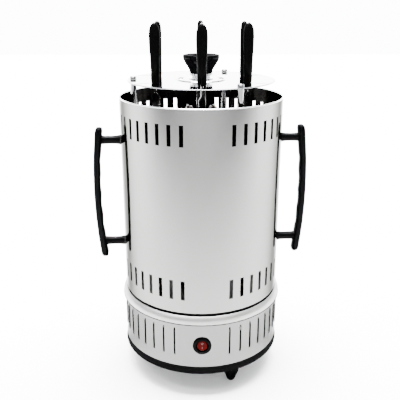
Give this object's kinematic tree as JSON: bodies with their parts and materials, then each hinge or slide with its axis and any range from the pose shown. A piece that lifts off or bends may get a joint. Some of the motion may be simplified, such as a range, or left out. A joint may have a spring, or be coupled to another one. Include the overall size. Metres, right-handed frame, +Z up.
{
  "type": "rotisserie oven",
  "caption": "Upright electric kebab grill: round slotted steel casing with side handles, chrome top plate with a knob, upright skewers with flat black handles, louvred base with rocker switch.",
  "frame": {"origin": "on the floor, under the middle of the round base", "axes": "+Z up, -Y towards the switch at the front, +X to the right handle as seen from the front"},
  "size_m": [0.2776, 0.212, 0.4555],
  "materials": {
    "polished_steel": "polished sheet",
    "satin_steel": "satin sheet",
    "chrome": "mirror",
    "steel_rod": "plain",
    "black_gloss": "gloss",
    "black_matte": "matte",
    "rubber": "matte",
    "red": "gloss",
    "motor": "plain",
    "brass": "plain",
    "nylon": "plain"
  },
  "bodies": {
    "stand": {"base_ring": "black_matte", "base_shell": "satin_steel", "base_cap": "satin_steel", "seat_ring": "rubber", "foot_1": "rubber", "foot_2": "rubber", "foot_3": "rubber", "cord_gland": "rubber", "switch_bezel": "black_gloss", "motor_can": "motor", "motor_gearbox": "motor", "bearing_plate": "steel_rod", "heater_base": "steel_rod", "heater_core": "steel_rod", "heater_loop_1": "steel_rod", "heater_loop_2": "steel_rod", "heater_loop_3": "steel_rod", "guard_wire_1": "steel_rod", "guard_wire_2": "steel_rod", "guard_wire_3": "steel_rod", "guard_wire_4": "steel_rod", "guard_wire_5": "steel_rod", "guard_wire_6": "steel_rod", "post_1": "chrome", "post_2": "chrome", "post_3": "chrome", "post_head_1": "chrome", "post_head_2": "chrome", "post_head_3": "chrome"},
    "casing": {"casing": "polished_steel", "handle_left": "black_gloss", "handle_right": "black_gloss", "handle_screw_1": "chrome", "handle_screw_2": "chrome", "handle_screw_3": "chrome", "handle_screw_4": "chrome"},
    "plate": {"top_plate": "chrome", "knob_ferrule": "chrome", "knob": "black_gloss"},
    "drive": {"motor_shaft": "steel_rod", "drive_gear": "nylon"},
    "rocker": {"switch_rocker": "red"},
    "turner_1": {"socket_1": "brass"},
    "skewer_1": {"skewer_blade_1": "steel_rod", "skewer_handle_1": "black_gloss"},
    "turner_2": {"socket_2": "brass"},
    "skewer_2": {"skewer_blade_2": "steel_rod", "skewer_handle_2": "black_gloss"},
    "turner_3": {"socket_3": "brass"},
    "skewer_3": {"skewer_blade_3": "steel_rod", "skewer_handle_3": "black_gloss"},
    "turner_4": {"socket_4": "brass"},
    "skewer_4": {"skewer_blade_4": "steel_rod", "skewer_handle_4": "black_gloss"},
    "turner_5": {"socket_5": "brass"},
    "skewer_5": {"skewer_blade_5": "steel_rod", "skewer_handle_5": "black_gloss"},
    "turner_6": {"socket_6": "brass"},
    "skewer_6": {"skewer_blade_6": "steel_rod", "skewer_handle_6": "black_gloss"}
  },
  "joints": [
    {"name": "casing_lift", "type": "slide", "parent": "stand", "child": "casing", "axis": [0, 0, 1], "range_m": [0, 0.345]},
    {"name": "plate_lift", "type": "slide", "parent": "stand", "child": "plate", "axis": [0, 0, 1], "range_m": [0, 0.27]},
    {"name": "drive_spin", "type": "hinge", "parent": "stand", "child": "drive", "pos_m": [0, 0, 0.09], "axis": [0, 0, 1], "continuous": true},
    {"name": "rocker_tilt", "type": "hinge", "parent": "stand", "child": "rocker", "pos_m": [0, -0.1014, 0.074], "axis": [1, 0, 0], "range_deg": [0, 16]},
    {"name": "socket_spin_1", "type": "hinge", "parent": "stand", "child": "turner_1", "pos_m": [0.05456, 0.0315, 0.09], "axis": [0, 0, 1], "continuous": true},
    {"name": "skewer_lift_1", "type": "slide", "parent": "turner_1", "child": "skewer_1", "axis": [0, 0, 1], "range_m": [0, 0.27]},
    {"name": "socket_spin_2", "type": "hinge", "parent": "stand", "child": "turner_2", "pos_m": [0, 0.063, 0.09], "axis": [0, 0, 1], "continuous": true},
    {"name": "skewer_lift_2", "type": "slide", "parent": "turner_2", "child": "skewer_2", "axis": [0, 0, 1], "range_m": [0, 0.27]},
    {"name": "socket_spin_3", "type": "hinge", "parent": "stand", "child": "turner_3", "pos_m": [-0.05456, 0.0315, 0.09], "axis": [0, 0, 1], "continuous": true},
    {"name": "skewer_lift_3", "type": "slide", "parent": "turner_3", "child": "skewer_3", "axis": [0, 0, 1], "range_m": [0, 0.27]},
    {"name": "socket_spin_4", "type": "hinge", "parent": "stand", "child": "turner_4", "pos_m": [-0.05456, -0.0315, 0.09], "axis": [0, 0, 1], "continuous": true},
    {"name": "skewer_lift_4", "type": "slide", "parent": "turner_4", "child": "skewer_4", "axis": [0, 0, 1], "range_m": [0, 0.27]},
    {"name": "socket_spin_5", "type": "hinge", "parent": "stand", "child": "turner_5", "pos_m": [0, -0.063, 0.09], "axis": [0, 0, 1], "continuous": true},
    {"name": "skewer_lift_5", "type": "slide", "parent": "turner_5", "child": "skewer_5", "axis": [0, 0, 1], "range_m": [0, 0.27]},
    {"name": "socket_spin_6", "type": "hinge", "parent": "stand", "child": "turner_6", "pos_m": [0.05456, -0.0315, 0.09], "axis": [0, 0, 1], "continuous": true},
    {"name": "skewer_lift_6", "type": "slide", "parent": "turner_6", "child": "skewer_6", "axis": [0, 0, 1], "range_m": [0, 0.27]}
  ],
  "couplings": [
    {"joint": "socket_spin_1", "follows": "drive_spin", "ratio": -2},
    {"joint": "skewer_lift_1", "follows": "plate_lift", "ratio": 1},
    {"joint": "socket_spin_2", "follows": "drive_spin", "ratio": -2},
    {"joint": "skewer_lift_2", "follows": "plate_lift", "ratio": 1},
    {"joint": "socket_spin_3", "follows": "drive_spin", "ratio": -2},
    {"joint": "skewer_lift_3", "follows": "plate_lift", "ratio": 1},
    {"joint": "socket_spin_4", "follows": "drive_spin", "ratio": -2},
    {"joint": "skewer_lift_4", "follows": "plate_lift", "ratio": 1},
    {"joint": "socket_spin_5", "follows": "drive_spin", "ratio": -2},
    {"joint": "skewer_lift_5", "follows": "plate_lift", "ratio": 1},
    {"joint": "socket_spin_6", "follows": "drive_spin", "ratio": -2},
    {"joint": "skewer_lift_6", "follows": "plate_lift", "ratio": 1}
  ]
}
